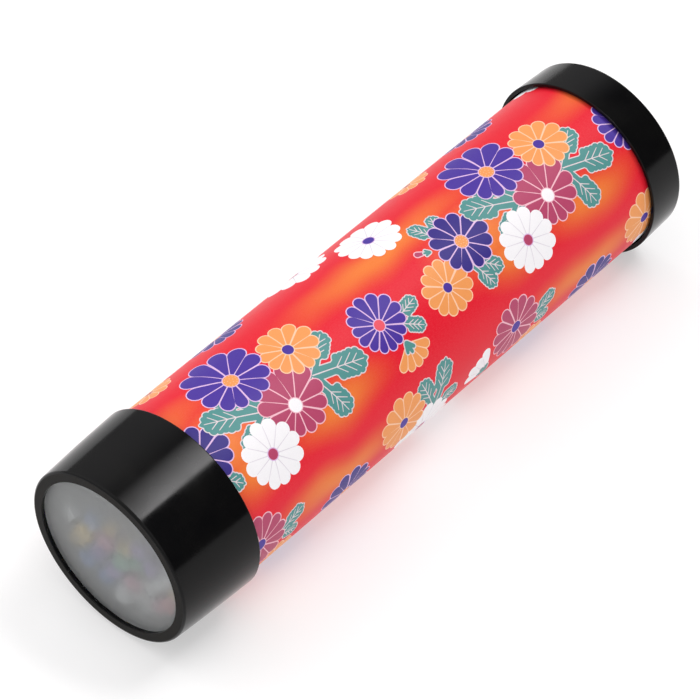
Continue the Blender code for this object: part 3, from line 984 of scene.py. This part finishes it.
def make_rings(black, foam):
    """Spacer, retaining ring and gasket, each with its wall in millimetres."""
    fillet = 0.2 * MM
    for name, node, wall, body, slot, material in (
            ("ring_spacer", "cell_spacer", 1.5, "object_cell", "black_plastic", black),
            ("ring_retainer", "retaining_ring", 2.5, "object_cell", "black_plastic", black),
            ("ring_gasket", "eyepiece_gasket", 3.5, "tube_body", "foam", foam)):
        outer = node_radius(node)
        inner = outer - wall * MM
        start, end = station(node, 0), station(node, 1)
        corners = ((outer, end, fillet), (outer, start, fillet),
                   (inner, start, fillet), (inner, end, fillet))
        ring = lathe(name, corners, (material,), steps=3, sides=SIDES // 2)
        stands_for(ring, body, slot, node)


def dress_nodes(looks):
    """Procedural materials on the CAD nodes that stay."""
    for name, node in frame["nodes"].items():
        for prefix, material in looks.items():
            if name.startswith(prefix):
                for slot in node.material_slots:
                    slot.material = material


BEAD_COLOURS = {
    "yellow": (0.98, 0.62, 0.03, 1),
    "blue": (0.03, 0.28, 0.90, 1),
    "pink": (0.92, 0.20, 0.40, 1),
    "red": (0.80, 0.04, 0.06, 1),
    "green": (0.05, 0.55, 0.25, 1),
    "violet": (0.38, 0.16, 0.75, 1),
    "clear": (0.94, 0.96, 0.97, 1),
}


def make_beads():
    """Glass on the bead nodes, by the record's slots."""
    glass = {"bead_" + name: bead_glass(name, colour) for name, colour in BEAD_COLOURS.items()}
    for part in frame["record"]["subparts"]:
        if part["material_slot"] in glass:
            node = frame["nodes"][part["node"]]
            for slot in node.material_slots:
                slot.material = glass[part["material_slot"]]


# ---------------------------------------------------------------- studio

def make_floor():
    """Plain pale floor under the object."""
    corners = [(x * FLOOR_HALF, y * FLOOR_HALF, 0) for x, y in ((-1, -1), (1, -1), (1, 1), (-1, 1))]
    floor = new_piece("floor", corners, [(0, 1, 2, 3)], None, (studio_floor(),))


def make_lights():
    """The studio round the object, as light that depends only on where it comes from.

    A softbox stands above and beyond the tube. Its +X edge is crisp and it fades towards -X. Broad
    soft light comes from overhead and from the front, and some from the -X side. Beyond the tube
    the +X side stays dark, which the caps reflect.
    """
    world = bpy.data.worlds.new("studio")
    world.use_nodes = True
    graph = Graph(world.node_tree)
    x, y, z = graph.split(graph.add("ShaderNodeTexCoord").outputs["Generated"])
    height = graph.math("MAXIMUM", z, 0.05)
    across = graph.math("DIVIDE", x, height)
    beyond = graph.math("DIVIDE", y, height)
    key = graph.span(across, KEY_EDGE - KEY_SOFT, KEY_EDGE + KEY_SOFT, 1.0, 0.0, True)
    key = graph.math("MULTIPLY", key, graph.span(across, KEY_FADE, KEY_EDGE, 0.0, 1.0))
    key = graph.math("MULTIPLY", key, graph.span(beyond, *KEY_NEAR, 0.0, 1.0, True))
    key = graph.math("MULTIPLY", key, graph.span(beyond, *KEY_FAR, 1.0, 0.0, True))
    key = graph.math("MULTIPLY", key, KEY_STRENGTH)
    fill = graph.span(z, 0.0, 1.0, LOW_FILL, HIGH_FILL)
    fill = graph.math("MULTIPLY", fill, graph.span(y, *FILL_BACK, 0.0, 1.0, True))
    fill = graph.math("MULTIPLY", fill, graph.span(x, -0.6, 0.6, *FILL_TILT))
    side = graph.span(x, 0.0, -0.6, SIDE_LEAST, SIDE_FILL, True)
    side = graph.math("MULTIPLY", side, graph.span(z, 0.0, 0.6, 0.3, 1.0))
    light = graph.math("ADD", graph.math("ADD", key, fill), side)
    seen = graph.add("ShaderNodeLightPath").outputs["Is Camera Ray"]
    background = world.node_tree.nodes["Background"]
    background.inputs["Color"].default_value = (1.0, 0.985, 0.99, 1)
    graph.put(graph.span(seen, 0.0, 1.0, light, BACKDROP), background.inputs["Strength"])
    bpy.context.scene.world = world


def make_camera():
    """The picture's viewpoint."""
    a, e = CAMERA_AZIMUTH, CAMERA_ELEVATION
    back = Vector((math.sin(a) * math.cos(e), -math.cos(a) * math.cos(e), math.sin(e)))
    right = Vector((math.cos(a), math.sin(a), 0))
    up = back.cross(right)
    middle = Vector((0, FRONT_Y + LENGTH / 2, AXIS_Z))
    aim = middle + right * AIM_RIGHT + up * AIM_UP
    data = bpy.data.cameras.new("camera")
    data.lens = CAMERA_LENS
    data.sensor_width = 36
    data.clip_start = 0.01
    camera = bpy.data.objects.new("camera", data)
    camera.location = aim + back * CAMERA_DISTANCE
    camera.rotation_euler = Matrix((right, up, back)).transposed().to_euler()
    bpy.context.scene.collection.objects.link(camera)
    bpy.context.scene.camera = camera


def main():
    """Build the whole picture."""
    make_camera()
    make_print()
    gloss = gloss_black()
    white = moulded_white()
    foam = foam_cells()
    black_card = fibre_board("card_black", (0.030, 0.030, 0.032, 1), (0.012, 0.012, 0.013, 1))
    make_cell_shell(gloss, satin_black())
    make_eyepiece_cap(gloss)
    make_discs(frosted(), clear_sheet())
    make_rings(gloss, foam)
    make_beads()
    dress_nodes({
        "cardboard_tube": fibre_board("card_brown", (0.46, 0.36, 0.25, 1), (0.30, 0.22, 0.14, 1)),
        "bearing_collar": white,
        "front_mirror_plate": black_card,
        "rear_mirror_plate": black_card,
        "mirror_strip": mirror_silver(),
        "tape_band": crepe_tape(),
        "foam_pad": foam,
    })
    make_floor()
    make_lights()
    bpy.context.scene.view_settings.view_transform = "Standard"


main()
